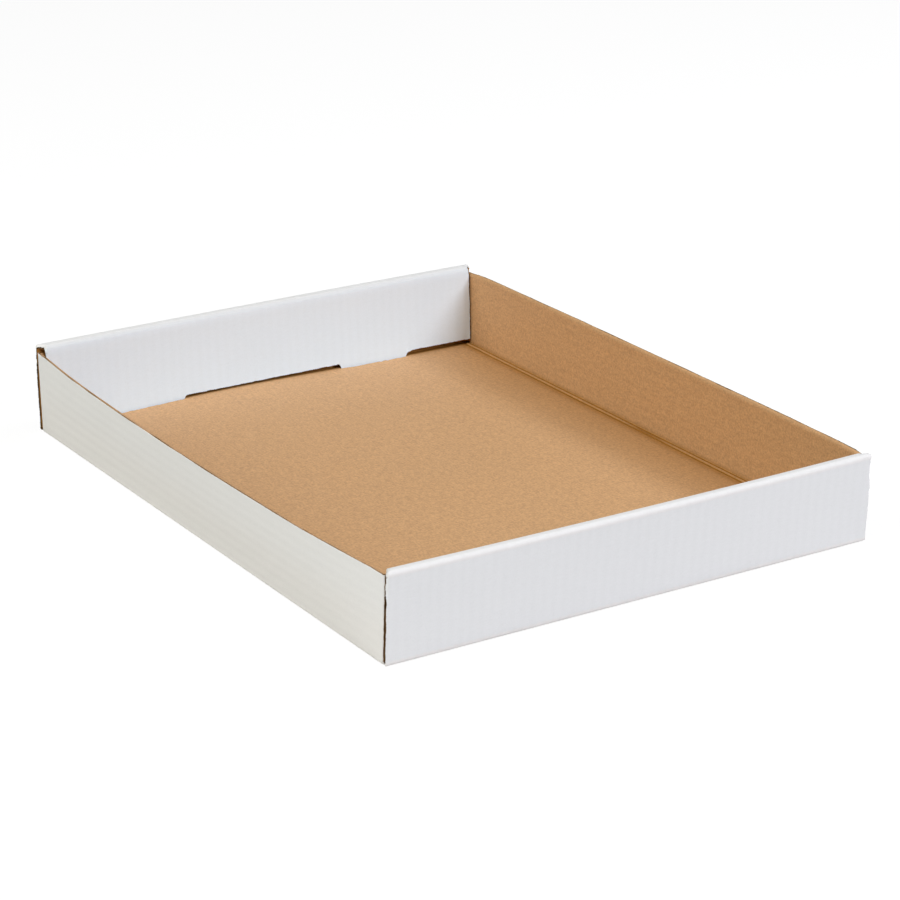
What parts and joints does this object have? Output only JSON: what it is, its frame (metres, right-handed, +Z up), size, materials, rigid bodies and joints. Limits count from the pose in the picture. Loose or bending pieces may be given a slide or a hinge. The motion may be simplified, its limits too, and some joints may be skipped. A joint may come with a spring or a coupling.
{
  "type": "corrugated cardboard tray",
  "caption": "Shallow open tray folded from a sheet of corrugated board, white outside and brown inside, with plain side walls and rolled-over end walls locked by tabs in the floor.",
  "frame": {"origin": "middle of the tray's underside, halfway between the side folds and halfway between the end folds", "axes": "+X across the tray from the left side wall to the right one, +Y along it from the front end wall to the back one, +Z up"},
  "size_m": [0.32, 0.4108, 0.0548],
  "materials": {
    "board": "uncoated kraft",
    "white_liner": "matt white liner",
    "fluted_core": "uncoated kraft"
  },
  "bodies": {
    "root": {"folded_tray": "board"}
  },
  "joints": []
}
